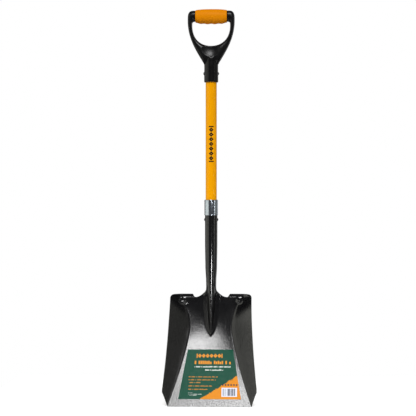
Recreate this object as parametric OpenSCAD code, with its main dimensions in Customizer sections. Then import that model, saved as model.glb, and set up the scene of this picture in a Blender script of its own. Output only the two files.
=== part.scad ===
// Square-mouth garden shovel with a D-handle.
// Frame: +Z runs up the shaft and -Y is the face that carries the load. The origin is on the
// shaft's axis, under the middle of the grip, where a wall hook holds the shovel. Millimetres.
// Each part is drawn from the cutting edge up, and from_edge() then moves it into that frame.

/* [Blade] */
// Length of the floor from the cutting edge to the treads
floor_len = 292.6; // [283:0.2:303]
// Length of the flat part of the floor
flat_len = 171.6; // [162:0.2:181]
// Angle between the flat floor and the shaft
lift_angle = 25; // [20:1:28]
// Angle left between the floor and the shaft at the treads
top_angle = 5; // [2:1:8]
// Overall width near the cutting edge
mouth_w = 239.4; // [226:0.2:252]
// Overall width at the treads
tread_w = 208; // [200:1:215]
// Width of the cutting edge
edge_w = 212; // [205:1:218]
// Narrowest width of the floor between its side walls
waist_w = 102; // [98:1:110]
// Angle of the side walls to the floor
wall_angle = 40; // [30:1:50]
// Thickness of the steel sheet
sheet_t = 1.5; // [1.2:0.1:2]

/* [Socket] */
// Height of the top of the socket
socket_top = 520; // [506:1:536]
// Outer diameter at the top of the socket
socket_d = 32.6; // [32.4:0.1:33.4]
// Width of the pinched neck below the socket
neck_w = 26.4; // [25:0.2:28]
// Length of the zinc ferrule over the top of the socket
ferrule_len = 40; // [30:1:50]
// Outer diameter of the ferrule
ferrule_d = 35; // [34.8:0.1:36]

/* [Shaft] */
// Outer diameter of the fibreglass tube
shaft_d = 28.6; // [28:0.1:28.6]
// Wall of the fibreglass tube
shaft_wall = 4; // [3:0.5:5]
// Height of the lower end of the shaft, inside the socket
shaft_bottom = 416; // [411:1:426]
// Height of the upper end of the shaft, inside the handle
shaft_top = 888; // [876:1:890]
// Diameter of the rivet shanks
rivet_d = 6; // [5:0.5:6]

/* [Handle] */
// Outer diameter of the handle's socket
handle_socket_d = 36.6; // [36:0.1:37.4]
// Overall width of the D-handle
handle_w = 121.6; // [118:0.2:126]
// Front-to-back thickness of the handle's arms
arm_depth = 23; // [18:1:26]
// Length of the soft grip
grip_len = 81.4; // [78:0.2:84]
// Front-to-back thickness of the soft grip
grip_depth = 36; // [34:0.5:37]
// How far the finger swells stand out
swell = 1.2; // [0:0.1:2.5]

/* [Hidden] */
$fn = 64;
play = 0.05;                        // gap between parts that nest

// Blade: the floor is flat, then follows an arc of radius dish_r up to the treads.
dish_r = (floor_len - flat_len)*180/PI/(lift_angle - top_angle);
strap_hw = 38;                      // half width of the centre strip that rises into the socket
notch_fillet = 7;                   // rounding where the strip's shoulder meets each notch
nose_len = 32;                      // length of the slanted cut at each mouth corner
waist_at = 211.6;                   // distance of the waist from the cutting edge
waist_flare = 27;                   // growth of each half of the floor above the waist
wall_bend = 0.09;                   // softness of the bend between floor and wall
tread_rise = 8;                     // height of the rolled treads over the floor's top
tread_lean = 35;                    // angle at which a tread leans back from the floor's top
tread_r = 4.5;                      // radius of the roll at the top of a tread
tread_turn = 140;                   // angle through which the treads roll over to the back
tread_flank = (tread_rise - tread_r*(1 - sin(tread_lean)))/cos(tread_lean);
corner_drop = 5;                    // how far a tread dips at the blade's side
gusset_h = 6;                       // height of the pressed gusset in each tread corner
gusset_x = 72;                      // distance of the gussets from the middle
gusset_low = 10;                    // distance of their centres below the treads
gusset_r = 6.5;                     // distance over which a gusset falls to a third of its height

// Frog: the ridge that carries the socket down into the floor.
tip_at = 190;                       // distance of the frog's point from the cutting edge
frog_tip = floor_z(tip_at);
frog_hw = 27;                       // half width of its embossed foot
frog_taper = 35;                    // length over which the foot opens out
frog_slope = 0.35;                  // rise of the embossed foot
frog_fillet = 4;                    // blend between the ridge and its foot
crest_forward = 4.2;                // how far the crest leans in front of the socket
crest_top = 358;                    // height where the crest starts to lean forward
neck_z = 312;                       // height of the narrowest part of the neck
shaft_y = floor_y(tip_at) + socket_d/2 + crest_forward;
seam_angle = 177;                   // half angle that the rolled strap covers at the socket
open_angle = 125;                   // half angle that it covers at the neck

// Grid of the sheet: columns from the middle out, rows from the cutting edge up.
foot_cols = 9;
strap_cols = 15;
floor_cols = 4;
wall_steps = [0, 0.06, 0.15, 0.3, 0.52, 0.76, 1];
wall_cols = len(wall_steps) - 1;
half_cols = strap_cols + floor_cols + wall_cols;
stations = concat([0:20:160], [170:5:210], [220:10:270], [276:4:floor_len - 4], [floor_len]);
blade_steps = [for (range = stations) for (v = range) v/floor_len];
blade_rows = len(blade_steps) - 1;
lip_rows = 6;                       // rows of a rolled tread
strap_rows = 26;
ridge_steps = [0, 0.25, 0.5, 0.72, 0.88, 1, 1.12];
ridge_cols = len(ridge_steps) - 1;

ferrule_top = socket_top + 3.5;
socket_rivet_z = ferrule_top - ferrule_len - 11;
head_r = 4.8;                       // radius of the rivet heads
head_h = 2.3;                       // height of the rivet heads

handle_rivet_z = 850;
handle_socket_bottom = 827.4;
grip_z = 998.6;                     // height of the grip's axis
grip_under = 19.5;                  // from the grip's axis down to its underside, between the swells
hook_z = grip_z - grip_under;       // height of the origin over the cutting edge
bar_h = 28.8;                       // height of the yoke's corners
core_bar_d = 22;                    // diameter of the crossbar inside the grip
opening_bottom = 921.8;             // lowest point of the hand opening
hub_z = 874;                        // height where the arms meet the handle's socket
web_depth = 31;                     // thickness of the web under the opening

label_low = 20.6;                   // distance of the label from the cutting edge
label_len = 133;
label_low_w = 159;
label_top_w = 116;
label_t = 0.3;

function mix(a, b, t) = a + (b - a)*t;
function clamp(t) = min(1, max(0, t));
function ease(t) = let (c = clamp(t)) c*c*(3 - 2*c);
function soft_min(a, b, k) = let (h = max(k - abs(a - b), 0)/k) min(a, b) - k*h*h/4;
function soft_max(a, b, k) = -soft_min(-a, -b, k);

// Floor line in the side view, by the distance v from the cutting edge.
function floor_angle(v) = v < flat_len ? lift_angle : lift_angle - (v - flat_len)/dish_r*180/PI;
function floor_y(v) = min(v, flat_len)*sin(lift_angle)
    + (v > flat_len ? dish_r*(cos(floor_angle(v)) - cos(lift_angle)) : 0);
function floor_z(v) = min(v, flat_len)*cos(lift_angle)
    + (v > flat_len ? dish_r*(sin(lift_angle) - sin(floor_angle(v))) : 0);

// Half widths of the floor between its creases and of the whole blade.
function crease_x(v) = v < waist_at
    ? mix(waist_w/2, edge_w/2, pow(1 - v/waist_at, 1.3))
    : waist_w/2 + waist_flare*pow((v - waist_at)/(floor_len - waist_at), 2);
function edge_x(v) = mix(tread_w, mouth_w, pow((floor_len - v)/(floor_len - nose_len), 2))/2;
function wall_rise(q) = (norm([q, wall_bend]) - wall_bend)/(norm([1, wall_bend]) - wall_bend);

// Half widths of the ridge and of its embossed foot at height z.
function neck_x(z) = z > shaft_bottom
    ? mix(shaft_d/2 + 1.75, socket_d/2, (z - shaft_bottom)/(socket_top - shaft_bottom))
    : z > neck_z ? mix(mix(neck_w/2, 15.1, ease((z - neck_z)/40)), shaft_d/2 + 1.75,
        ease((z - neck_z - 34)/(shaft_bottom - neck_z - 34)))
    : mix(5, neck_w/2, pow(clamp((z - frog_tip)/(neck_z - frog_tip)), 0.9));
function foot_x(z) = frog_hw*(1 - exp(-pow(max(0, z - frog_tip)/frog_taper, 0.6)));
function foot_column(z) = max(foot_x(z), 3) + 14*ease((frog_tip - z)/110);
function ridge_column(z) = min(neck_x(z), 0.65*foot_column(z));

// Front of the centre strip at x, for a point of height z whose floor is at y = base.
function crest_y(z) = shaft_y - socket_d/2 - crest_forward*ease((crest_top - z)/(crest_top - frog_tip));
function ridge_y(x, z) = let (s = abs(x)/neck_x(z), c = min(s, 0.94), deep = shaft_y - crest_y(z))
    crest_y(z) + deep*(1 - sqrt(1 - c*c) + (s - c)*c/sqrt(1 - c*c));
function foot_y(x, z, base) = base - frog_slope*max(0, foot_x(z) - abs(x));
function strip_y(x, z, base) =
    soft_min(ridge_y(x, z), foot_y(x, z, base), frog_fillet*ease((z - frog_tip)/30) + 0.01);
function strip_x(k, z) = let (ridge = ridge_column(z), foot = foot_column(z))
    k <= ridge_cols ? ridge*ridge_steps[k]
    : k <= foot_cols
    ? mix(ridge*ridge_steps[ridge_cols], foot, (k - ridge_cols)/(foot_cols - ridge_cols))
    : mix(foot, strap_hw, (k - foot_cols)/(strap_cols - foot_cols));

// One point of the front surface, in column j from -half_cols to half_cols.
function side(j) = j < 0 ? -1 : 1;
function gusset(x, v) = gusset_h*exp(-pow((x - gusset_x)/gusset_r, 2)
    - pow((v - floor_len + gusset_low)/gusset_r, 2));
function blade_point(j, t) = let (k = abs(j),
        q = wall_steps[max(0, k - strap_cols - floor_cols)],
        v = mix(nose_len*pow(q, 1.2), floor_len, t),
        f = clamp((k - strap_cols)/floor_cols),
        wide = edge_x(v) - crease_x(v),
        up = wide*tan(wall_angle)*wall_rise(q),
        inner = k <= strap_cols ? strip_x(k, floor_z(v)) : mix(strap_hw, crease_x(v), f),
        x = inner + wide*q,
        z = floor_z(v) + up*sin(floor_angle(v)),
        y = floor_y(v) - up*cos(floor_angle(v)) - gusset(x, v))
    [side(j)*x, k <= strap_cols ? strip_y(x, z, y) : y, z];
function strap_point(j, t) = let (k = abs(j),
        low = floor_z(floor_len),
        z = mix(low, socket_top, pow(t, 1.7)),
        u = mix(strip_x(k, low)/strap_hw, k/strap_cols, ease((z - low)/70)),
        inner = strip_x(ridge_cols, z),
        shoulder = strap_hw - 0.9*(z - low) - notch_fillet*(1 - exp(-(z - low)/2.2)),
        outer = soft_max(shoulder, inner + 0.3, 8),
        start = strip_x(ridge_cols, low),
        x = k <= ridge_cols ? strip_x(k, z)
            : mix(inner, outer, (strip_x(k, low) - start)/(strap_hw - start)),
        reach = mix(open_angle, seam_angle, ease((z - neck_z + 16)/110)),
        flat = [x, strip_y(x, z, floor_y(floor_len)), z],
        round = [neck_x(z)*sin(reach*u), shaft_y - (shaft_y - crest_y(z))*cos(reach*u), z],
        p = mix(flat, round, ease((z - low)/42)))
    [side(j)*p.x, p.y, p.z];
function lip_point(j, i) = let (base = blade_point(j, 1),
        q = wall_steps[max(0, abs(j) - strap_cols - floor_cols)],
        rise = floor_z(floor_len) + tread_rise - corner_drop*pow(q, 8) - base.z,
        a = mix(tread_lean, tread_turn, (i - 1)/(lip_rows - 1)),
        back = tread_flank*sin(tread_lean) + tread_r*(cos(tread_lean) - cos(a)),
        up = tread_flank*cos(tread_lean) + tread_r*(sin(a) - sin(tread_lean)))
    [base.x, base.y + back, base.z + (a < 90 ? rise*up/tread_rise : rise - tread_rise + up)];
function front_point(i, j) = i <= blade_rows ? blade_point(j, blade_steps[i])
    : abs(j) <= strap_cols ? strap_point(j, (i - blade_rows)/strap_rows)
    : lip_point(j, min(i - blade_rows, lip_rows));

// A cell is the patch between columns j and j+1 and between rows i and i+1.
function cell(i, j) = i >= 0 && j >= -half_cols && j < half_cols
    && (i < blade_rows
        || (i < blade_rows + strap_rows && j >= -strap_cols && j < strap_cols)
        || (i < blade_rows + lip_rows && (j > strap_cols || j < -strap_cols - 1)));
function joined(i, j, di, dj) = di == 0
    ? cell(i, dj > 0 ? j : j - 1) || cell(i - 1, dj > 0 ? j : j - 1)
    : cell(di > 0 ? i : i - 1, j) || cell(di > 0 ? i : i - 1, j - 1);
function step(P, i, j, di, dj) = joined(i, j, di, dj)
    ? P[i + di][j + dj + half_cols] : P[i][j + half_cols];
function outward(P, i, j) = let (
        across = step(P, i, j, 0, 1) - step(P, i, j, 0, -1),
        along = step(P, i, j, 1, 0) - step(P, i, j, -1, 0),
        n = cross(across, along))
    n/max(norm(n), 0.000001);

module sheet(P, rows, t) {
    cols = 2*half_cols + 1;
    back = [for (i = [0:rows]) [for (j = [-half_cols:half_cols])
        let (n = outward(P, i, j), p = P[i][j + half_cols])
        i == 0 ? p + [0, t/norm([n.y, n.z]), 0] : p - t*n]];
    points = [for (face = [P, back]) for (row = face) for (p = row) p];
    shift = (rows + 1)*cols;
    function at(i, j) = i*cols + j + half_cols;
    function rim(a, b) = [a, b, b + shift, a + shift];
    faces = [for (i = [0:rows - 1]) for (j = [-half_cols:half_cols - 1]) if (cell(i, j))
        for (face = [
            [at(i, j), at(i + 1, j), at(i + 1, j + 1), at(i, j + 1)],
            [for (k = [at(i, j), at(i, j + 1), at(i + 1, j + 1), at(i + 1, j)]) k + shift],
            if (!cell(i - 1, j)) rim(at(i, j), at(i, j + 1)),
            if (!cell(i + 1, j)) rim(at(i + 1, j + 1), at(i + 1, j)),
            if (!cell(i, j - 1)) rim(at(i + 1, j), at(i, j)),
            if (!cell(i, j + 1)) rim(at(i, j + 1), at(i + 1, j + 1))])
        face];
    polyhedron(points, faces, convexity = 10);
}

// Solid skin over a row of closed loops with the same number of points.
module skin(loops) {
    n = len(loops[0]);
    last = len(loops) - 1;
    points = [for (loop = loops) for (p = loop) p];
    sides = [for (i = [0:last - 1]) for (k = [0:n - 1])
        [i*n + k, i*n + (k + 1)%n, (i + 1)*n + (k + 1)%n, (i + 1)*n + k]];
    polyhedron(points, concat([[for (k = [n - 1:-1:0]) k]], sides, [[for (k = [0:n - 1]) last*n + k]]),
        convexity = 6);
}

// Loop of n points round the centre c: half axis a in the plane of the handle, half depth d along Y.
function oval(c, a, d, square, n) = [for (k = [0:n - 1])
    let (t = 360*(k + 0.5)/n, e = 2/square, s = sin(t), r = cos(t))
    c + a*sign(r)*pow(abs(r), e) + [0, d, 0]*sign(s)*pow(abs(s), e)];

// Cubic curve from a to d, drawn towards b and c, at t from 0 to 1.
function bezier(a, b, c, d, t) = let (s = 1 - t) s*s*s*a + 3*s*s*t*b + 3*s*t*t*c + t*t*t*d;

module from_edge() {
    translate([0, -shaft_y, -hook_z]) children();
}

module across(z, r, len) {
    translate([0, shaft_y, z]) rotate([0, 90, 0]) cylinder(r = r, h = len, center = true);
}

// A plain tube around the shaft's axis, from low to top.
module tube(low, top, outer, inner) {
    translate([0, shaft_y, low]) difference() {
        cylinder(d = outer, h = top - low);
        translate([0, 0, -1]) cylinder(d = inner, h = top - low + 2);
    }
}

// Dowel that stops a rivet from crushing the tube.
module core(low, top, rivet_z) {
    difference() {
        translate([0, shaft_y, low]) cylinder(d = shaft_d - 2*shaft_wall - 2*play, h = top - low);
        across(rivet_z, rivet_d/2 + play, 2*shaft_d);
    }
}

// Through rivet with a domed head on each side of a round part of diameter seat_d.
module rivet(z, seat_d) {
    sink = 0.8;
    dome_r = (head_r*head_r + pow(head_h + sink, 2))/(2*(head_h + sink));
    dome_a = asin(head_r/dome_r);
    dome = [for (k = [0:9]) let (a = dome_a*k/9)
        [dome_r*sin(a), dome_r*cos(a) - dome_r + head_h + sink]];
    across(z, rivet_d/2, seat_d + 1);
    for (turn = [-90, 90]) difference() {
        translate([0, shaft_y, z]) rotate([0, turn, 0]) translate([0, 0, seat_d/2 - sink])
            rotate_extrude() polygon(concat([[0, 0]], dome));
        translate([0, shaft_y, z - 2*head_r]) cylinder(d = seat_d + 2*play, h = 4*head_r);
    }
}

// The blade, frog and socket are one pressing, rolled round at the top.
module shovel_head() {
    rows = blade_rows + strap_rows;
    front = [for (i = [0:rows]) [for (j = [-half_cols:half_cols]) front_point(i, j)]];
    color([0.09, 0.09, 0.095]) from_edge() difference() {
        sheet(front, rows, sheet_t);
        across(socket_rivet_z, rivet_d/2 + play, 2*socket_d);
    }
}

// Plated collar over the socket's end, with a lip that closes onto the shaft.
module ferrule() {
    outer = ferrule_d/2;
    bore = socket_d/2 + play;
    lip = shaft_d/2 + play;
    color("silver") from_edge() translate([0, shaft_y, ferrule_top - ferrule_len])
        rotate_extrude() polygon([
        [bore, 0], [outer - 0.4, 0], [outer, 0.4], [outer, ferrule_len - 1.6],
        [outer - 0.5, ferrule_len - 0.5], [outer - 1.6, ferrule_len], [lip, ferrule_len],
        [lip, ferrule_len - 1.6], [bore, ferrule_len - 3]]);
}

module socket_rivet() {
    color("dimgray") from_edge() rivet(socket_rivet_z, 2*neck_x(socket_rivet_z));
}

module shaft() {
    color([0.93, 0.6, 0.05]) from_edge() difference() {
        tube(shaft_bottom, shaft_top, shaft_d, shaft_d - 2*shaft_wall);
        across(socket_rivet_z, rivet_d/2 + play, 2*shaft_d);
        across(handle_rivet_z, rivet_d/2 + play, 2*shaft_d);
    }
}

module shaft_core_lower() {
    color("tan") from_edge() core(shaft_bottom + 4, socket_top + 16, socket_rivet_z);
}

module shaft_core_upper() {
    color("tan") from_edge() core(handle_socket_bottom - 21, shaft_top - 4, handle_rivet_z);
}

// Both arms of the D in one sweep, from the right end of the crossbar to the left end.
// Each pair is a point on the opening and the point across the arm from it, in X and Z.
function arm_pairs() = let (w = handle_w/2, end = grip_len/2 + play,
        low = grip_z - bar_h/2, high = grip_z + bar_h/2)
    concat(
        [[[end, low], [end, high]]],
        [for (k = [0:8]) [
            bezier([end + 3, low], [end + 8, low], [end + 8.4, low - 3], [49, low - 11], k/9),
            bezier([end + 5, high], [w - 3, high], [w + 0.3, high - 7], [w, high - 23], k/9)]],
        [for (k = [0:14]) [
            bezier([49, low - 11], [49, low - 40], [32, opening_bottom], [0, opening_bottom], k/14),
            k < 12 ? bezier([w, high - 23], [w + 1.2, hub_z + 62], [31, hub_z + 24],
                            [handle_socket_d/2, hub_z], k/11)
                   : [[12, hub_z - 4], [6, hub_z - 5], [0, hub_z - 5]][k - 12]]]);

module arms() {
    right = arm_pairs();
    last = len(right) - 1;
    pairs = concat(right, [for (k = [last - 1:-1:0]) [for (p = right[k]) [-p.x, p.y]]]);
    skin([for (pair = pairs) let (
            mid = (pair[0] + pair[1])/2,
            half = (pair[1] - pair[0])/2,
            near_bar = ease((mid.y - hub_z - 57)/55),
            near_web = ease((hub_z + 62 - mid.y)/40),
            depth = mix(mix(arm_depth, bar_h, near_bar), web_depth, near_web)/2)
        oval([mid.x, shaft_y, mid.y], [half.x, 0, half.y], depth, mix(3, 2.3, near_bar), 24)]);
}

// Moulded D-frame with its socket, thumb scoops and the crossbar that carries the grip.
module handle_yoke() {
    r = handle_socket_d/2;
    rings = [[handle_socket_bottom, r - 0.6, r - 0.6], [handle_socket_bottom + 0.8, r, r],
             [hub_z - 30, r, r], [hub_z - 12, r - 0.3, r - 0.3], [hub_z, r - 0.2, r - 0.2],
             [hub_z + 12, r, r - 0.6], [hub_z + 22, r, r - 1.6], [hub_z + 32, r - 2, web_depth/2],
             [hub_z + 40, r - 7, web_depth/2 - 2.5]];
    scoop_r = 62;
    scoop_gap = 9.5;                // half thickness left between the scoops
    color([0.07, 0.07, 0.075]) from_edge() difference() {
        union() {
            arms();
            skin([for (s = rings) oval([0, shaft_y, s[0]], [s[1], 0, 0], -s[2], 2, 36)]);
            across(grip_z, core_bar_d/2, grip_len + 4);
        }
        translate([0, shaft_y, handle_socket_bottom - 1])
            cylinder(d = shaft_d + 2*play, h = shaft_top - handle_socket_bottom + 1.5);
        across(handle_rivet_z, rivet_d/2 + play, 2*handle_socket_d);
        for (s = [-1, 1]) translate([0, shaft_y + s*(scoop_r + scoop_gap), opening_bottom - 2])
            sphere(r = scoop_r);
    }
}

// Soft sleeve moulded over the crossbar, with four finger swells underneath.
function grip_r(x, a) = let (u = abs(2*x/grip_len),
        top = 18.2 - 2.4*pow(u, 3),
        front = grip_depth/2 - 2.4*pow(u, 3),
        under = grip_under - 3.2*pow(u, 3) + swell*(1 + cos(360*(x/18.6 - 0.5)))/2,
        s = sin(a))
    mix(front, s > 0 ? top : under, s*s);

module grip_sleeve() {
    color([0.95, 0.6, 0.08]) from_edge() difference() {
        skin([for (i = [-20:20]) let (x = i/20*grip_len/2)
            [for (k = [0:35]) let (a = -10*k, r = grip_r(x, a) - (abs(i) == 20 ? 0.8 : 0))
                [x, shaft_y + r*cos(a), grip_z + r*sin(a)]]]);
        across(grip_z, core_bar_d/2 + play, 2*grip_len);
    }
}

module handle_rivet() {
    color("dimgray") from_edge() rivet(handle_rivet_z, handle_socket_d - 0.3);
}

module blade_label() {
    color([0.1, 0.32, 0.25]) from_edge() rotate([90 - lift_angle, 0, 0])
        translate([0, label_low, play]) linear_extrude(label_t)
            polygon([[-label_low_w/2, 0], [label_low_w/2, 0],
                     [label_top_w/2, label_len], [-label_top_w/2, label_len]]);
}

shovel_head();
ferrule();
socket_rivet();
shaft();
shaft_core_lower();
shaft_core_upper();
handle_yoke();
grip_sleeve();
handle_rivet();
blade_label();
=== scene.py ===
"""Looks of the square-mouth garden shovel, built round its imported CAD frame."""

import math

import bmesh
import bpy
import numpy as np
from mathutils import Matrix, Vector


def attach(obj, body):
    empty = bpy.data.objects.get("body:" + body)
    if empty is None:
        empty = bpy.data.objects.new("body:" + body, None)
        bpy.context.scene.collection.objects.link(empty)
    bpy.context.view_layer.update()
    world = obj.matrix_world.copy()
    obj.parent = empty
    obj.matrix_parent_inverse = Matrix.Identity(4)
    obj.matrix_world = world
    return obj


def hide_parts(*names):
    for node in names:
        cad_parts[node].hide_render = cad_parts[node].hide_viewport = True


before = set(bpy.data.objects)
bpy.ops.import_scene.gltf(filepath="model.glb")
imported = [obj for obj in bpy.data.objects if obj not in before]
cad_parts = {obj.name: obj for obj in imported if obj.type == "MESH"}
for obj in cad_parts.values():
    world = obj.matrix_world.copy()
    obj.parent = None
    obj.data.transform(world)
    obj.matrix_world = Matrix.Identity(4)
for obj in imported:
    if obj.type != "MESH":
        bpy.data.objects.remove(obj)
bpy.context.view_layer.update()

# ---------------------------------------------------------------- driving dimensions, millimetres
# Shapes are worked out in millimetres from the middle of the cutting edge, +Z up and -Y in front,
# and in_frame() moves them into the row frame. The numbers are those of the CAD model: in the
# names, _D is a diameter, _R a radius, _W a width, _HW half a width and _T a thickness.
FLOOR_LEN, FLAT_LEN = 292.6, 171.6
LIFT_ANGLE, TOP_ANGLE = 25, 5
MOUTH_W, TREAD_W, EDGE_W, WAIST_W = 239.4, 208, 212, 102
WALL_ANGLE, SHEET_T, RIM_BEVEL = 40, 1.5, 0.35
SOCKET_TOP, SOCKET_D, NECK_W = 520, 32.6, 26.4
FERRULE_LEN, FERRULE_D = 40, 35
SHAFT_D, SHAFT_WALL, SHAFT_BOTTOM, SHAFT_TOP = 28.6, 4, 416, 888
HANDLE_SOCKET_D, HANDLE_W, ARM_DEPTH = 36.6, 121.6, 23
GRIP_LEN, GRIP_DEPTH, SWELL = 81.4, 36, 1.2
RIVET_D, HEAD_R, HEAD_H = 6, 4.8, 2.3
PLAY = 0.05

# the blade's sheet: strap, notches, waist, walls, treads, corner marks and the frog, which is the
# raised tongue that runs down the floor under the strap
STRAP_HW, NOTCH_FILLET, NOSE_LEN, WAIST_AT, WAIST_FLARE = 38, 7, 32, 211.6, 27
WALL_BEND, CORNER_DROP, HOLLOW = 0.09, 5, 3
TREAD_RISE, TREAD_LEAN, TREAD_R, TREAD_TURN = 8, 35, 4.5, 140
GUSSET_H, GUSSET_X, GUSSET_LOW, GUSSET_R = 6, 72, 10, 6.5
TIP_AT, FROG_HW, FROG_TAPER, FROG_SLOPE, FROG_FILLET = 190, 27, 35, 0.35, 4
CREST_FORWARD, CREST_TOP, NECK_Z, SEAM_ANGLE, OPEN_ANGLE = 4.2, 358, 312, 177, 125
# heights of the upper parts over the cutting edge, the hand opening and the label
FERRULE_TOP = SOCKET_TOP + 3.5
SOCKET_RIVET_Z = FERRULE_TOP - FERRULE_LEN - 11
HANDLE_RIVET_Z, HANDLE_SOCKET_BOTTOM = 850, 827.4
GRIP_Z, GRIP_UNDER, BAR_H, CORE_BAR_D = 998.6, 19.5, 28.8, 22
OPENING_BOTTOM, HUB_Z, WEB_DEPTH, SCOOP_R, SCOOP_GAP = 921.8, 874, 31, 62, 9.5
LABEL_LOW, LABEL_LEN, LABEL_LOW_W, LABEL_TOP_W, LABEL_T = 20.6, 133, 159, 116, 0.3
PRINT_LOW, PRINT_LEN, PRINT_HW = 621, 93, 6.2
LABEL_UNIT = 100                  # millimetres to one unit of the label's UV map
HOOK_Z = GRIP_Z - GRIP_UNDER      # the row frame starts where a hook would hold the grip
ROUND = 128                       # points round a turned shape


def sin(a):
    return np.sin(np.radians(a))


def cos(a):
    return np.cos(np.radians(a))


def mix(a, b, t):
    return a + (b - a) * t


def clamp(t):
    return np.clip(t, 0, 1)


def ease(t):
    c = clamp(t)
    return c * c * (3 - 2 * c)


def soft_min(a, b, k):
    h = np.maximum(k - np.abs(a - b), 0) / k
    return np.minimum(a, b) - k * h * h / 4


def soft_max(a, b, k):
    return -soft_min(-a, -b, k)


# ---------------------------------------------------------------- the blade's sheet
DISH_R = math.degrees((FLOOR_LEN - FLAT_LEN) / (LIFT_ANGLE - TOP_ANGLE))


def floor_angle(v):
    """The floor's lean at a place v along it: even from the edge, then less in an arc."""
    return LIFT_ANGLE - np.degrees(np.maximum(v - FLAT_LEN, 0) / DISH_R)


def floor_y(v):
    dish = cos(floor_angle(v)) - cos(LIFT_ANGLE)
    return np.minimum(v, FLAT_LEN) * sin(LIFT_ANGLE) + DISH_R * dish


def floor_z(v):
    dish = sin(LIFT_ANGLE) - sin(floor_angle(v))
    return np.minimum(v, FLAT_LEN) * cos(LIFT_ANGLE) + DISH_R * dish


FROG_TIP = float(floor_z(TIP_AT))
SHAFT_Y = float(floor_y(TIP_AT)) + SOCKET_D / 2 + CREST_FORWARD
TREAD_Z = float(floor_z(FLOOR_LEN))


def crease_x(v):
    """Half the width of the floor at a place v along it, up from the cutting edge."""
    low = mix(WAIST_W / 2, EDGE_W / 2, np.maximum(1 - v / WAIST_AT, 0) ** 1.3)
    flare = np.maximum(v - WAIST_AT, 0) / (FLOOR_LEN - WAIST_AT)
    return np.where(v < WAIST_AT, low, WAIST_W / 2 + WAIST_FLARE * flare**2)


def edge_x(v):
    """Half the width of the blade between the tops of its walls."""
    return mix(TREAD_W, MOUTH_W, ((FLOOR_LEN - v) / (FLOOR_LEN - NOSE_LEN)) ** 2) / 2


def wall_rise(q):
    """Share of a wall's height at a share q of its width, with a rounded crease at q = 0."""
    return (np.hypot(q, WALL_BEND) - WALL_BEND) / (np.hypot(1, WALL_BEND) - WALL_BEND)


def neck_x(z):
    """Half the width of the ridge, the neck and the socket at a height."""
    tip, bulge, bulge_len, bulge_from = 5, 15.1, 40, NECK_Z + 34
    pinch = mix(tip, NECK_W / 2, clamp((z - FROG_TIP) / (NECK_Z - FROG_TIP)) ** 0.9)
    tube = SHAFT_D / 2 + 1.75
    swollen = mix(mix(NECK_W / 2, bulge, ease((z - NECK_Z) / bulge_len)), tube,
                  ease((z - bulge_from) / (SHAFT_BOTTOM - bulge_from)))
    socket = mix(tube, SOCKET_D / 2, (z - SHAFT_BOTTOM) / (SOCKET_TOP - SHAFT_BOTTOM))
    return np.where(z > SHAFT_BOTTOM, socket, np.where(z > NECK_Z, swollen, pinch))


def foot_x(z):
    """Half the width of the frog at a height."""
    return FROG_HW * (1 - np.exp(-(np.maximum(0, z - FROG_TIP) / FROG_TAPER) ** 0.6))


def foot_column(z):
    """Where the mesh has its column for the frog's edge, which is spread out under the frog."""
    narrowest, spread_by, spread_over = 3, 14, 110
    return np.maximum(foot_x(z), narrowest) + spread_by * ease((FROG_TIP - z) / spread_over)


def ridge_column(z):
    """Where the mesh has its column for the ridge's edge."""
    return np.minimum(neck_x(z), 0.65 * foot_column(z))


def crest_y(z):
    """Front of the ridge, the neck and the socket at a height."""
    return SHAFT_Y - SOCKET_D / 2 - CREST_FORWARD * ease((CREST_TOP - z) / (CREST_TOP - FROG_TIP))


def ridge_y(x, z):
    """Front of the ridge: a half ellipse that goes on in a straight line near its edge."""
    straight_from = 0.94
    s = np.abs(x) / neck_x(z)
    c = np.minimum(s, straight_from)
    drop = np.sqrt(1 - c * c)
    return crest_y(z) + (SHAFT_Y - crest_y(z)) * (1 - drop + (s - c) * c / drop)


def strip_y(x, z, base):
    """Front of the frog and the ridge that stand on a surface at y = base."""
    foot = base - FROG_SLOPE * np.maximum(0, foot_x(z) - np.abs(x))
    fillet = FROG_FILLET * ease((z - FROG_TIP) / 30) + 0.01
    return soft_min(ridge_y(x, z), foot, fillet)


# The mesh has the same columns from the cutting edge to the treads, and the strap goes on with
# the first of them. They are listed as shares of the ridge, frog, strap, floor and wall.
RIDGE_EDGE = 1.12                 # width of the ridge's columns as a share of the neck
RIDGE = np.sin(np.linspace(0, math.pi / 2, 19)) * RIDGE_EDGE
FOOT = np.linspace(0, 1, 13)[1:]
OUTER = np.linspace(0, 1, 9)[1:]
FLOOR = np.linspace(0, 1, 25)[1:]
WALL = np.linspace(0, 1, 27)[1:] ** 1.35
STRAP_COLS = len(RIDGE) - 1 + len(FOOT) + len(OUTER)
HALF_COLS = STRAP_COLS + len(FLOOR) + len(WALL)


def spread(low, high, value, other):
    """One value per column: value where low <= column < high, and other elsewhere."""
    out = np.full(HALF_COLS + 1, float(other))
    out[low:high] = value
    return out


def risen(low, high, value):
    """0 below low, the values up to high, and 1 from there on."""
    return np.maximum(spread(low, high, value, 0), (K >= high) * 1.0)


RIDGE_END = len(RIDGE)
FOOT_END = RIDGE_END + len(FOOT)
OUTER_END = FOOT_END + len(OUTER)
FLOOR_END = OUTER_END + len(FLOOR)
K = np.arange(HALF_COLS + 1)
RIDGE_K = spread(0, RIDGE_END, RIDGE, RIDGE_EDGE)
FOOT_K = risen(RIDGE_END, FOOT_END, FOOT)
OUTER_K = risen(FOOT_END, OUTER_END, OUTER)
FLOOR_K = risen(OUTER_END, FLOOR_END, FLOOR)
WALL_K = spread(FLOOR_END, HALF_COLS + 1, WALL, 0)


def strip_x(z):
    """Distance of the strap's columns from the middle, for heights z of shape (rows, columns)."""
    ridge, foot = ridge_column(z), foot_column(z)
    inner = mix(ridge * RIDGE_K, foot, FOOT_K)
    return mix(inner, STRAP_HW, OUTER_K)


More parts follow.
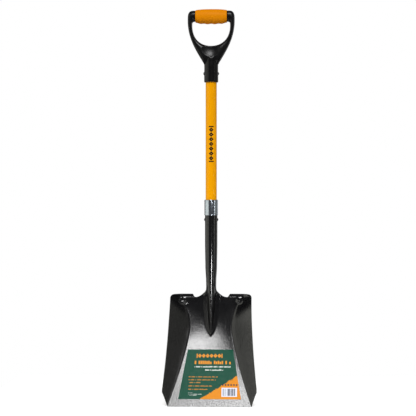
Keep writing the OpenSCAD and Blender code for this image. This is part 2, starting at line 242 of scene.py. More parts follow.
def gusset(x, v):
    """How far the mark pressed at the corner of the floor and the tread stands forward."""
    across, along = (x - GUSSET_X) / GUSSET_R, (v - FLOOR_LEN + GUSSET_LOW) / GUSSET_R
    return GUSSET_H * np.exp(-across**2 - along**2)


def hollow(x, v, q):
    """How far the floor curves up towards the waist's creases; q is the place on the wall."""
    flat_hw = 8
    along = ease((v - 20) / 170) * ease((FLOOR_LEN - v) / 60)
    across = clamp((np.abs(x) - flat_hw) / (crease_x(v) - flat_hw))
    return HOLLOW * along * across**2 * (1 - q) ** 2


def blade_rows(stations):
    """Right half of the blade's front surface, one row per station along the floor."""
    q = WALL_K[None, :]
    v = mix(NOSE_LEN * q**1.2, FLOOR_LEN, stations[:, None] / FLOOR_LEN)
    wide = edge_x(v) - crease_x(v)
    up = wide * math.tan(math.radians(WALL_ANGLE)) * wall_rise(q)
    inner = np.where(K <= STRAP_COLS, strip_x(floor_z(v)), mix(STRAP_HW, crease_x(v), FLOOR_K))
    x = inner + wide * q
    z = floor_z(v) + up * sin(floor_angle(v))
    y = floor_y(v) - up * cos(floor_angle(v)) - gusset(x, v) - hollow(x, v, q)
    y = np.where(K <= STRAP_COLS, strip_y(x, z, y), y)
    return np.stack([x, y, z], -1)


def strap_rows(count):
    """Right half of the strap that rises from the treads and rolls into the socket."""
    slope, notch_len, blend, roll_len, even_len, seam_len = 0.9, 2.2, 8, 42, 70, 110
    t = (np.arange(1, count + 1) / count)[:, None]
    k = K[: STRAP_COLS + 1]
    z = mix(TREAD_Z, SOCKET_TOP, t**1.7) + 0 * k
    over = z - TREAD_Z
    tread = np.full((1, HALF_COLS + 1), TREAD_Z)
    strap_x, start = strip_x(tread)[:, k], ridge_column(tread)[:, k] * RIDGE_EDGE
    inner = ridge_column(z) * RIDGE_EDGE
    shoulder = STRAP_HW - slope * over - NOTCH_FILLET * (1 - np.exp(-over / notch_len))
    outer = soft_max(shoulder, inner + 0.3, blend)
    x = np.where(k < RIDGE_END, ridge_column(z) * RIDGE_K[k],
                 mix(inner, outer, (strap_x - start) / (STRAP_HW - start)))
    u = mix(strap_x / STRAP_HW, k / STRAP_COLS, ease(over / even_len))
    reach = mix(OPEN_ANGLE, SEAM_ANGLE, ease((z - NECK_Z + 16) / seam_len))
    flat = np.stack([x, strip_y(x, z, float(floor_y(FLOOR_LEN))), z], -1)
    rolled = np.stack([neck_x(z) * sin(reach * u),
                       SHAFT_Y - (SHAFT_Y - crest_y(z)) * cos(reach * u), z], -1)
    return mix(flat, rolled, ease(over / roll_len)[..., None])


def lip_rows(base, count):
    """Right half of the rolled tread: up from the blade's top row, over and down behind it."""
    k = np.arange(STRAP_COLS, HALF_COLS + 1)
    q = WALL_K[k][None, :]
    base = base[None, k]
    notch_x, notch_w, least = 42, 7, 0.02
    notch = ease((base[..., 0] - notch_x) / notch_w)
    rise = (TREAD_Z + TREAD_RISE - CORNER_DROP * q**8 - base[..., 2]) * notch + least
    i, flat = np.arange(1, count + 1)[:, None], 3
    a = mix(TREAD_LEAN, TREAD_TURN, np.maximum(i - flat, 0) / (count - flat))
    flank = (TREAD_RISE - TREAD_R * (1 - sin(TREAD_LEAN))) * np.minimum(i / flat, 1) ** 2
    back = flank * math.tan(math.radians(TREAD_LEAN)) + TREAD_R * (cos(TREAD_LEAN) - cos(a))
    back = back * mix(least, 1, notch)
    up = flank + TREAD_R * (sin(a) - sin(TREAD_LEAN))
    up = np.where(a < 90, rise * up / TREAD_RISE, rise - (TREAD_RISE - up) * notch)
    return np.stack([base[..., 0] + 0 * up, base[..., 1] + back, base[..., 2] + up], -1)


def mirrored(right):
    """Both halves of some rows, from the left end to the right end."""
    left = right[:, :0:-1] * np.array([-1, 1, 1])
    return np.concatenate([left, right], 1)


# ---------------------------------------------------------------- mesh tools
def in_frame(points):
    """Millimetres from the cutting edge, as metres in the row frame."""
    return (np.asarray(points, float).reshape(-1, 3) - [0, SHAFT_Y, HOOK_Z]) / 1000


def in_scene(name, data):
    obj = bpy.data.objects.new(name, data)
    bpy.context.scene.collection.objects.link(obj)
    return obj


def mesh_object(name, points, faces):
    mesh = bpy.data.meshes.new(name)
    mesh.from_pydata([tuple(p) for p in in_frame(points)], [], faces)
    mesh.validate()
    return in_scene(name, mesh)


def bmesh_object(name, bm):
    """An object from a bmesh in metres, which is freed."""
    mesh = bpy.data.meshes.new(name)
    bm.to_mesh(mesh)
    bm.free()
    return in_scene(name, mesh)


def modified(obj):
    """Applies the object's modifiers to its mesh."""
    depsgraph = bpy.context.evaluated_depsgraph_get()
    mesh = bpy.data.meshes.new_from_object(obj.evaluated_get(depsgraph))
    obj.modifiers.clear()
    obj.data = mesh
    return obj


def modifier(obj, kind, **settings):
    m = obj.modifiers.new(kind.title(), kind)
    for key, value in settings.items():
        setattr(m, key, value)
    return m


def subtract(obj, cutter):
    modifier(obj, "BOOLEAN", operation="DIFFERENCE", solver="EXACT", object=cutter)
    modified(obj)
    bpy.data.objects.remove(cutter)


def shade(obj, sharp_angle):
    """Smooth shading, except where faces meet at more than an angle."""
    obj.data.shade_smooth()
    obj.data.set_sharp_from_angle(angle=math.radians(sharp_angle))


def paint_with(obj, material):
    obj.data.materials.clear()
    obj.data.materials.append(material)


def finish_piece(obj, material, slot, *nodes):
    """Gives a piece its material and body, and hides the CAD nodes that it stands for. The slot is
    not used.
    """
    paint_with(obj, material)
    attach(obj, "root")
    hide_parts(*nodes)


def grid_faces(ids):
    """Quads between neighbouring rows and columns of a 2-D array of point numbers."""
    a, b, c, d = ids[:-1, :-1], ids[1:, :-1], ids[1:, 1:], ids[:-1, 1:]
    return np.stack([a, b, c, d], -1).reshape(-1, 4).tolist()


def skin(name, loops, closed=False):
    """A solid from loops with the same number of points; closed joins the last to the first."""
    loops = np.asarray(loops, float)
    rows, n = loops.shape[:2]
    ids = np.arange(rows * n).reshape(rows, n)
    ids = np.concatenate([ids, ids[:, :1]], 1)
    if closed:
        return mesh_object(name, loops, grid_faces(np.concatenate([ids, ids[:1]], 0)))
    ends = [ids[0, :-1].tolist(), ids[-1, -2::-1].tolist()]
    return mesh_object(name, loops, grid_faces(ids) + ends)


def outward(obj):
    """Turns every face of a closed mesh to the outside."""
    bm = bmesh.new()
    bm.from_mesh(obj.data)
    bmesh.ops.recalc_face_normals(bm, faces=bm.faces)
    bm.to_mesh(obj.data)
    bm.free()
    return obj


def ring(radius, z):
    """A level loop round the shaft's axis."""
    a = np.linspace(0, 360, ROUND, endpoint=False)
    return np.stack([radius * sin(a), SHAFT_Y - radius * cos(a), np.full(ROUND, float(z))], -1)


def turned(name, profile):
    """A ring-shaped solid round the shaft's axis from a closed profile of (radius, height)."""
    return outward(skin(name, [ring(r, z) for r, z in profile], closed=True))


def crosswise(profile, z, n):
    """Loops round an axis along X at height z, from (distance, radius) pairs."""
    a = np.linspace(0, 360, n, endpoint=False)
    return [np.stack([np.full(n, float(x)), SHAFT_Y + r * cos(a), z + r * sin(a)], -1)
            for x, r in profile]


# ---------------------------------------------------------------- shader tools
class Signal:
    """A shader value that can be used in sums like a number."""

    def __init__(self, tree, socket):
        self.tree, self.socket = tree, socket

    def math(self, operation, *others):
        node = self.tree.nodes.new("ShaderNodeMath")
        node.operation = operation
        for slot, value in zip(node.inputs, (self, *others), strict=False):
            plug(self.tree, slot, value)
        return Signal(self.tree, node.outputs[0])

    def __add__(self, other):
        return self.math("ADD", other)

    def __sub__(self, other):
        return self.math("SUBTRACT", other)

    def __mul__(self, other):
        return self.math("MULTIPLY", other)

    def __truediv__(self, other):
        return self.math("DIVIDE", other)

    def abs(self):
        return self.math("ABSOLUTE")

    def floor(self):
        return self.math("FLOOR")

    def max(self, other):
        return self.math("MAXIMUM", other)

    def off_middle(self):
        """Distance from the middle of the whole-numbered cell that the value is in: 0 to 0.5."""
        return (self - self.floor() - 0.5).abs()

    def ramp(self, low, high, start=0.0, end=1.0):
        """start below low, end above high, and a smooth change between."""
        node = self.tree.nodes.new("ShaderNodeMapRange")
        node.interpolation_type = "SMOOTHSTEP"
        for slot, value in zip(node.inputs, (self, low, high, start, end), strict=False):
            plug(self.tree, slot, value)
        return Signal(self.tree, node.outputs[0])

    def inside(self, low, high, soft):
        """1 between low and high, with edges as wide as soft."""
        half = soft / 2
        return self.ramp(low - half, low + half) * self.ramp(high - half, high + half, 1, 0)


def plug(tree, slot, value):
    """Links a signal or a socket to a node's slot, or sets the slot to a value."""
    if isinstance(value, Signal):
        tree.links.new(value.socket, slot)
    elif isinstance(value, bpy.types.NodeSocket):
        tree.links.new(value, slot)
    else:
        slot.default_value = value


class Finish:
    """A Principled material and the textures that drive it, in millimetres of the row frame."""

    def __init__(self, name, **settings):
        self.material = bpy.data.materials.new(name)
        self.material.use_nodes = True
        self.tree = self.material.node_tree
        self.shader = self.tree.nodes["Principled BSDF"]
        for key, value in settings.items():
            self.set(key, value)
        self.place = self.scaled(self.node("ShaderNodeTexCoord").outputs["Object"], 1000)
        self.x, self.y, self.z = self.axes(self.place)

    def node(self, kind, **settings):
        node = self.tree.nodes.new(kind)
        for key, value in settings.items():
            setattr(node, key, value)
        return node

    def scaled(self, vector, factor):
        node = self.node("ShaderNodeVectorMath", operation="SCALE")
        self.tree.links.new(vector, node.inputs[0])
        node.inputs["Scale"].default_value = factor
        return node.outputs[0]

    def axes(self, vector):
        """The three numbers of a vector."""
        node = self.node("ShaderNodeSeparateXYZ")
        self.tree.links.new(vector, node.inputs[0])
        return [Signal(self.tree, s) for s in node.outputs]

    def set(self, key, value):
        """Sets one of the shader's own sockets: base_color is Base Color."""
        socket = key.replace("_", " ").title().replace("Ior", "IOR")
        plug(self.tree, self.shader.inputs[socket], value)

    def stretched(self, x, y, z):
        """The place, with each axis multiplied by its own factor."""
        node = self.node("ShaderNodeVectorMath", operation="MULTIPLY")
        self.tree.links.new(self.place, node.inputs[0])
        node.inputs[1].default_value = (x, y, z)
        return node.outputs[0]

    def noise(self, size, detail=2.0, roughness=0.5, place=None):
        """Noise from 0 to 1 whose features are about size millimetres across."""
        node = self.node("ShaderNodeTexNoise")
        self.tree.links.new(place or self.place, node.inputs["Vector"])
        for key, value in (("Scale", 1 / size), ("Detail", detail), ("Roughness", roughness)):
            node.inputs[key].default_value = value
        return Signal(self.tree, node.outputs[0])

    def white_noise(self, value):
        """A number from 0 to 1 that is the same wherever the value is the same."""
        node = self.node("ShaderNodeTexWhiteNoise", noise_dimensions="1D")
        plug(self.tree, node.inputs["W"], value)
        return Signal(self.tree, node.outputs[0])

    def cells(self, size, feature="F1", output="Distance", place=None):
        """Cells about size millimetres across: how far their middles are, or a tone for each."""
        node = self.node("ShaderNodeTexVoronoi", feature=feature)
        self.tree.links.new(place or self.place, node.inputs["Vector"])
        node.inputs["Scale"].default_value = 1 / size
        return Signal(self.tree, node.outputs[output])

    def blend(self, factor, a, b):
        """Colour a where factor is 0 and b where it is 1; each is a colour or a blend."""
        node = self.node("ShaderNodeMix", data_type="RGBA")
        plug(self.tree, node.inputs[0], factor)
        for slot, value in ((node.inputs[6], a), (node.inputs[7], b)):
            plug(self.tree, slot, value if isinstance(value, bpy.types.NodeSocket) else (*value, 1))
        return node.outputs[2]

    def bump(self, *layers):
        """Layers are pairs of a height from 0 to 1 and its depth in millimetres."""
        normal = None
        for height, depth in layers:
            node = self.node("ShaderNodeBump")
            node.inputs["Strength"].default_value = 1
            node.inputs["Distance"].default_value = depth / 1000
            plug(self.tree, node.inputs["Height"], height)
            if normal:
                self.tree.links.new(normal, node.inputs["Normal"])
            normal = node.outputs[0]
        self.tree.links.new(normal, self.shader.inputs["Normal"])


def srgb(r, g, b):
    """A colour seen as 0 to 255 on screen, as linear values."""
    return tuple(c / 12.92 if c <= 0.04045 else ((c + 0.055) / 1.055) ** 2.4
                 for c in (r / 255, g / 255, b / 255))


def heights(f):
    """Height over the cutting edge, in millimetres."""
    return f.z + HOOK_Z


# ---------------------------------------------------------------- materials
def lacquer():
    """Gloss black: stippled on the blade, smooth on the socket, worn and scratched at the edges."""
    f = Finish("black_lacquer", ior=1.5)
    flow, grain, fine = f.noise(16, 2), f.noise(3.2, 2, 0.6), f.noise(0.8, 1)
    fleck = f.noise(2.8, 3, 0.7).ramp(0.46, 0.74)
    blade = heights(f).ramp(200, 280, 1, 0.08)        # the blade is less smooth than the socket
    edge = f.node("ShaderNodeNewGeometry").outputs["Pointiness"]
    worn = Signal(f.tree, edge).ramp(0.56, 0.62) * f.noise(3.2, 4, 0.7).ramp(0.5, 0.64)
    scratches = f.noise(5, 5, 0.7, f.stretched(1, 1, 0.35)).ramp(0.56, 0.66)
    scuffed = heights(f).ramp(3, 12, 1, 0) * scratches
    bare = worn.max(scuffed * 0.5)
    black = f.blend(flow, srgb(9, 9, 11), srgb(16, 16, 17))
    f.set("base_color", f.blend(bare, black, srgb(98, 99, 100)))
    f.set("metallic", (bare * 0.8).max(fleck * 0.7))
    f.set("roughness", f.noise(30, 4, 0.6).ramp(0.3, 0.7, 0.07, 0.11) + blade * 0.075 + fine * 0.02)
    f.bump((grain * blade, 0.23), (flow * blade, 0.06), (fine, 0.004))
    return f.material


def zinc():
    """Bright plating with soft patches, draw lines up the collar and a few dull stains."""
    f = Finish("zinc_plate", metallic=1.0)
    patches = f.cells(3.2, place=f.stretched(1, 1, 0.6), output="Color")
    cloud = f.noise(7, 4, 0.65)
    draw = f.noise(0.35, 2, 0.5, f.stretched(1, 1, 0.02))
    stain = f.noise(11, 5, 0.7).ramp(0.52, 0.72)
    shiny = f.blend(patches, srgb(150, 158, 166), srgb(172, 180, 188))
    f.set("base_color", f.blend(stain * 0.5, shiny, srgb(118, 126, 134)))
    f.set("roughness", cloud.ramp(0.3, 0.7, 0.12, 0.2))
    f.bump((cloud, 0.04), (draw, 0.006), (patches, 0.005))
    return f.material


def rivet_paint():
    """Black paint that is rubbed to bare metal on the middle of each head."""
    f = Finish("rivet_paint", coat_weight=0.4, coat_roughness=0.2)
    rub = f.noise(1.4, 4, 0.7)
    centre = (f.x.abs() - (SOCKET_D / 2 + HEAD_H - 0.7)).ramp(0, 0.8)
    bare = centre * rub.ramp(0.5, 0.7)
    f.set("base_color", f.blend(bare, srgb(24, 24, 25), srgb(112, 113, 114)))
    f.set("metallic", bare * 0.9)
    f.set("roughness", rub.ramp(0.3, 0.7, 0.3, 0.45))
    f.bump((f.noise(0.8, 3), 0.04), (rub, 0.03))
    return f.material


def chain_mask(u, v, length, half_width, links):
    """A generic printed band: a chain of thick diamonds between two bars."""
    pitch = length / (links + 0.6)
    bar = pitch * 0.26
    cell = (v - 0.3 * pitch) / pitch
    reach = u.abs() * (pitch / 2 / half_width) + cell.off_middle() * pitch
    chain = reach.inside(pitch * 0.1, pitch * 0.5, 0.2) * cell.inside(0, links, 0.01)
    bars = v.inside(0, bar, 0.25).max(v.inside(length - bar, length, 0.25))
    return chain.max(bars * u.abs().ramp(half_width - 0.15, half_width + 0.15, 1, 0))


def fibreglass():
    """Yellow pultruded tube with fibres along it, and the printed band on its front."""
    f = Finish("yellow_fibreglass", coat_weight=0.1, coat_roughness=0.06, specular_ior_level=0.03)
    fibre = f.noise(0.9, 3, 0.6, f.stretched(1, 1, 0.012))
    tone = f.noise(40, 3)
    mottle = f.noise(6, 3, 0.5, f.stretched(1, 1, 0.15))
    yellow = f.blend(tone, srgb(226, 151, 0), srgb(234, 159, 1))
    yellow = f.blend(fibre.ramp(0.55, 0.75) * 0.35, yellow, srgb(204, 122, 0))
    front = f.y.ramp(-1, 1, 1, 0)
    ink = chain_mask(f.x - 0.6, heights(f) - PRINT_LOW, PRINT_LEN, PRINT_HW, 7) * front
    ink = ink * f.noise(1.1, 3, 0.7).ramp(0.26, 0.34)
    f.set("base_color", f.blend(ink, yellow, srgb(22, 20, 20)))
    f.set("roughness", mottle.ramp(0.3, 0.7, 0.3, 0.4) + ink * 0.12)
    f.bump((fibre, 0.01), (mottle, 0.02), (ink, 0.02))
    return f.material


def wood():
    """Pale wood with growth rings and pores, for the cores in the shaft's ends."""
    f = Finish("core_wood")
    rings = f.node("ShaderNodeTexWave", wave_type="RINGS", rings_direction="Z")
    f.tree.links.new(f.stretched(1, 1, 0.05), rings.inputs["Vector"])
    settings = {"Scale": 0.11, "Distortion": 2.4, "Detail": 3.0, "Detail Scale": 0.6}
    for key, value in settings.items():
        rings.inputs[key].default_value = value
    growth = Signal(f.tree, rings.outputs[1])
    pores = f.noise(0.5, 3, 0.6, f.stretched(1, 1, 0.03)).ramp(0.58, 0.72)
    pale = f.blend(growth, srgb(206, 170, 118), srgb(171, 126, 76))
    f.set("base_color", f.blend(pores * 0.6, pale, srgb(112, 76, 42)))
    f.set("roughness", f.noise(5, 3).ramp(0.3, 0.7, 0.6, 0.8))
    f.bump((pores, 0.08), (growth, 0.05))
    return f.material


def black_plastic():
    """Moulded black plastic with a fine grain, light scuffs and a parting line."""
    f = Finish("black_plastic", specular_ior_level=0.2)
    grain = f.cells(0.55, feature="SMOOTH_F1")
    cloud = f.noise(24, 1, 0.5)
    scuff = f.noise(1.6, 5, 0.75, f.stretched(1, 1, 0.3)).ramp(0.62, 0.7)
    seam = f.y.abs().ramp(0.1, 0.45, 1, 0)
    black = f.blend(cloud, srgb(7, 7, 8), srgb(12, 12, 13))
    f.set("base_color", f.blend(scuff * 0.35, black, srgb(36, 36, 38)))
    f.set("roughness", cloud.ramp(0.3, 0.7, 0.26, 0.34) + scuff * 0.12)
    f.bump((grain, 0.005), (cloud, 0.05), (seam, 0.1))
    return f.material


def soft_grip():
    """Orange soft sleeve with a fine stipple, drawn streaks, handling marks and a parting line."""
    f = Finish("orange_soft_grip", specular_ior_level=0.05)
    stipple = f.cells(0.75, feature="SMOOTH_F1")
    streak = f.noise(3.0, 3, 0.55, f.stretched(0.06, 1, 1))
    tone = f.noise(22, 4)
    orange = f.blend(tone, srgb(214, 126, 0), srgb(222, 135, 1))
    handled = streak.ramp(0.5, 0.75) * 0.2
    f.set("base_color", f.blend(handled, orange, srgb(196, 102, 0)))
    f.set("roughness", streak.ramp(0.3, 0.7, 0.46, 0.6))
    seam = f.y.abs().ramp(0.08, 0.35, 1, 0)
    f.bump((stipple, 0.008), (streak, 0.015), (seam, 0.08))
    return f.material


def greek(f, u, v, seed, low, height, left, right, letter):
    """A line of plain blocks in the place of words: no letters."""
    place = (u - left) / letter
    cell = place.floor()
    pick = f.white_noise(cell + seed)
    body = (place - cell).inside(0.08, 0.86, 0.12) * pick.ramp(0.16, 0.2)
    tall = pick.ramp(0.45, 0.55, 0.72, 1.0) * height
    line = v.inside(low, low + height, 0.2) * (v - low - tall).ramp(-0.15, 0.15, 1, 0)
    return body * line * u.inside(left, right, 0.2)


def label_print():
    """A green label with an orange wedge, in millimetres u across and v up from its low edge."""
    f = Finish("label_print", specular_ior_level=0.06)
    plane = f.scaled(f.node("ShaderNodeUVMap", uv_map="flat").outputs[0], LABEL_UNIT)
    u, v, _ = f.axes(plane)
    orange, white, ink = srgb(214, 138, 44), srgb(214, 222, 217), srgb(38, 42, 60)
    green = f.blend(f.noise(18, 4, 0.6, plane), srgb(20, 68, 53), srgb(27, 76, 60))
    amber = f.blend(f.noise(12, 3, 0.5, plane), srgb(210, 133, 31), srgb(201, 122, 25))
    brush = f.noise(9, 5, 0.75, plane) - 0.5
    slope, start = 0.664, 16
    paint = f.blend((u * slope + start - v + brush * 16).ramp(-0.6, 0.6), green, amber)
    paint = f.blend(chain_mask(v - 116, u + 35, 66, 5.6, 6), paint, orange)

    # lines of blocks: low edge, left end and right end, in place of the headings and small print
    def lines(paint, colour, seed, height, letter, strength, rows):
        for row, (low, left, right) in enumerate(rows):
            blocks = greek(f, u, v, seed + row, low, height, left, right, letter)
            paint = f.blend(blocks * strength, paint, colour)
        return paint

    margin = -54
    paint = lines(paint, orange, 3, 9, 4.9, 1, [(93.5, -40, 53)])
    paint = lines(paint, white, 11, 3.4, 2.1, 1, [(84.8, -40, 52), (76, -15, 33)])
    paint = lines(paint, orange, 31, 2.8, 2.3, 0.72,
                  [(low, margin, right) for low, right in
                   ((58, 20), (50, 15), (42.7, -23), (33.6, 8), (24.7, -5))])
    paint = lines(paint, white, 61, 1.7, 1.3, 0.7,
                  [(low, margin, right) for low, right in ((16, -44), (12.2, -20), (9.3, -32))])

    # a row of dots, and a pale panel with upright bars under it
    dots_left, dots_up, pitch = 29, 38, 7.2
    across = ((u - dots_left) / pitch).off_middle() * pitch
    dots = across.math("POWER", 2) + (v - dots_up).math("POWER", 2)
    dots = dots.ramp(4.4, 6.2, 1, 0) * u.inside(dots_left, 70, 0.1)
    paint = f.blend(dots, paint, ink)
    panel = u.inside(30, 69.5, 0.3) * v.inside(6.5, 30.5, 0.3)
    bars = f.white_noise((u * 1.3).floor() + 12).ramp(0.42, 0.46)
    bars = bars * u.inside(32.5, 67, 0.2) * v.inside(9, 28, 0.2)
    paint = f.blend(panel, paint, f.blend(bars * 0.8, srgb(206, 210, 222), ink))
    f.set("base_color", paint)
    f.set("roughness", f.noise(8, 3, 0.6, plane).ramp(0.3, 0.7, 0.34, 0.5))
    f.bump((f.noise(26, 3, 0.5, plane), 0.25), (f.noise(0.4, 2, 0.5, plane), 0.01))
    return f.material


# ---------------------------------------------------------------- pieces
def shovel_head():
    """The blade, the strap and both treads as one sheet."""
    stations = np.concatenate([
        np.arange(0, 155, 5), np.arange(155, 212, 2.5), np.arange(212, 268, 4),
        np.linspace(268, FLOOR_LEN, 15)])
    blade = blade_rows(stations)
    strap = strap_rows(84)
    lip = lip_rows(blade[-1], 20)
    grids = [mirrored(blade), mirrored(strap), lip, lip * np.array([-1, 1, 1])]
    starts = np.cumsum([0] + [grid.size // 3 for grid in grids])
    blade_ids, strap_ids, right_ids, left_ids = (
        start + np.arange(grid.size // 3).reshape(grid.shape[:2])
        for start, grid in zip(starts, grids))
    # the strap and the treads go on from the blade's top row; a tread ends in a point at the strap
    cols, left_at, right_at = 2 * HALF_COLS + 1, HALF_COLS - STRAP_COLS, HALF_COLS + STRAP_COLS
    over_right = np.concatenate([blade_ids[-1:, right_at:], right_ids])
    over_left = np.concatenate([blade_ids[-1:, left_at::-1], left_ids])
    over_middle = np.concatenate([blade_ids[-1:, left_at: right_at + 1], strap_ids])
    for over in (over_right, over_left):
        over[1:, 0] = over[0, 0]
    points = np.concatenate([grid.reshape(-1, 3) for grid in grids])
    faces = (grid_faces(blade_ids) + grid_faces(over_middle) + grid_faces(over_right)
             + [face[::-1] for face in grid_faces(over_left)])
    faces = [list(dict.fromkeys(face)) for face in faces]
    return thicken("head_pressing", points, [face for face in faces if len(face) > 2], cols)


def thicken(name, points, faces, edge_count):
    """Gives the front surface the sheet's thickness and rounds the rim.

    The first edge_count points are the cutting edge, which stays level.
    """
    bm = bmesh.new()
    weight = bm.edges.layers.float.new("bevel_weight_edge")
    front = [bm.verts.new(p) for p in points]
    cutting_edge = set(front[:edge_count])
    for face in faces:
        bm.faces.new([front[i] for i in face])
    bmesh.ops.delete(bm, geom=[v for v in bm.verts if not v.link_faces], context="VERTS")
    bm.normal_update()
    rim = [e for e in bm.edges if e.is_boundary]
    front_faces = list(bm.faces)
    sign = -1 if sum(face.normal.y * face.calc_area() for face in front_faces) > 0 else 1
    back = {}
    for v in list(bm.verts):
        n = v.normal * sign
        step = Vector((0, SHEET_T / math.hypot(n.y, n.z), 0)) if v in cutting_edge else -SHEET_T * n
        back[v] = bm.verts.new(v.co + step)
        back[v].co.x = min(MOUTH_W / 2, max(-MOUTH_W / 2, back[v].co.x))
    for face in front_faces:
        bm.faces.new([back[v] for v in reversed(face.verts)])
    for edge in rim:
        a, b = edge.verts
        bm.faces.new([a, b, back[b], back[a]])
    bm.edges.ensure_lookup_table()
    for edge in rim:
        a, b = edge.verts
        edge[weight] = 1
        bm.edges.get((back[a], back[b]))[weight] = 1
    bmesh.ops.recalc_face_normals(bm, faces=bm.faces)
    for v in bm.verts:
        v.co = (v.co - Vector((0, SHAFT_Y, HOOK_Z))) / 1000
    obj = bmesh_object(name, bm)
    modifier(obj, "BEVEL", width=RIM_BEVEL / 1000, segments=2, limit_method="WEIGHT",
             use_clamp_overlap=True)
    modified(obj)
    shade(obj, 60)
    modifier(obj, "WEIGHTED_NORMAL", keep_sharp=True, weight=90)
    modified(obj)
    return obj


def ferrule():
    """A pressed collar with a bead at the bottom and its top curled in to the shaft."""
    outer, bore, lip = FERRULE_D / 2, SOCKET_D / 2 + PLAY, SHAFT_D / 2 + PLAY
    low, top = FERRULE_TOP - FERRULE_LEN, FERRULE_TOP
    body, curl_r = outer - 0.12, 1.6
    bead = [(outer - 0.3, low), (outer - 0.08, low + 0.1), (outer, low + 0.35), (outer, low + 2.2)]
    curl = [(outer - curl_r + curl_r * sin(a), top - curl_r + curl_r * cos(a))
            for a in np.linspace(90, 0, 9)]
    obj = turned("ferrule_collar", [
        (bore, low), (bore + 0.35, low), *bead, (body, low + 3), (body, top - 6), (outer, top - 5),
        *curl, (lip + 0.2, top), (lip, top - 0.2), (lip, top - curl_r), (bore, top - 3)])
    shade(obj, 50)
    return obj


def rivet(name, z, seat_d):
    """A rivet right through, with domed heads that sink a little into a seat seat_d across."""
    sink, dimple, dimple_r = 0.8, 0.1, 0.95
    seat, rise = seat_d / 2 - sink, HEAD_H + sink
    tip = seat_d / 2 + HEAD_H
    dome_r = (HEAD_R**2 + rise**2) / (2 * rise)
    arc = np.linspace(1, math.degrees(math.asin(HEAD_R / dome_r)), 12)
    dome = [(seat + dome_r * cos(a) - dome_r + rise, dome_r * sin(a)) for a in arc]
    centre = [(tip - dimple, 0.05), (tip - dimple, 0.7), (tip, dimple_r)]
    half = (centre + [(x, r) for x, r in dome if r > dimple_r + 0.25]
            + [(seat, HEAD_R - 0.15), (seat, RIVET_D / 2)])
    profile = half + [(-x, r) for x, r in reversed(half)]
    obj = outward(skin(name, crosswise(profile, z, 48)))
    shade(obj, 40)
    return obj


def shaft():
    outer, bore = SHAFT_D / 2, SHAFT_D / 2 - SHAFT_WALL
    chamfer = 0.5
    steps = np.linspace(SHAFT_BOTTOM + chamfer, SHAFT_TOP - chamfer, 60)
    profile = ([(bore, SHAFT_BOTTOM), (outer - chamfer, SHAFT_BOTTOM)] + [(outer, z) for z in steps]
               + [(outer - chamfer, SHAFT_TOP), (bore, SHAFT_TOP)])
    obj = turned("shaft_tube", profile)
    shade(obj, 30)
    return obj


def bezier(a, b, c, d, t):
    """The point at t, 0 to 1, on the curve from a to d that is pulled towards b and c."""
    s = 1 - t
    a, b, c, d = (np.array(p, float) for p in (a, b, c, d))
    return s**3 * a + 3 * s * s * t * b + 3 * s * t * t * c + t**3 * d


def oval(centre, half, depth, square, n):
    """A loop round a point: half reaches across, depth along Y, and square 2 makes an ellipse."""
    t = 360 * (np.arange(n) + 0.5) / n
    e = 2 / square
    s, r = sin(t), cos(t)
    across = np.sign(r) * np.abs(r) ** e
    along = np.sign(s) * np.abs(s) ** e
    return np.array(centre) + np.outer(across, half) + np.outer(along, [0, depth, 0])


def arm_pairs():
    """Points on the hand opening and the points across the arm from them, down the right arm."""
    w, end, hub = HANDLE_W / 2, GRIP_LEN / 2 + PLAY, HANDLE_SOCKET_D / 2
    low, high = GRIP_Z - BAR_H / 2, GRIP_Z + BAR_H / 2
    inside, outside, at_hub = (49, low - 11), (w, high - 23), (hub, HUB_Z)
    pairs = [((end, low), (end, high))]
    for t in np.linspace(0, 1, 28)[:-1]:
        pairs.append((bezier((end + 3, low), (end + 8, low), (end + 8.4, low - 3), inside, t),
                      bezier((end + 5, high), (w - 3, high), (w + 0.3, high - 7), outside, t)))
    turn = 11 / 14                    # where the outline reaches the hub
    for t in np.linspace(0, 1, 43):
        inner = bezier(inside, (49, low - 40), (32, OPENING_BOTTOM), (0, OPENING_BOTTOM), t)
        if t < turn:
            outer = bezier(outside, (w + 1.2, HUB_Z + 62), (31, HUB_Z + 24), at_hub, t / turn)
        else:
            outer = bezier(at_hub, (14, HUB_Z - 4.5), (8, HUB_Z - 5), (0, HUB_Z - 5),
                           (t - turn) / (1 - turn))
        pairs.append((inner, outer))
    return pairs


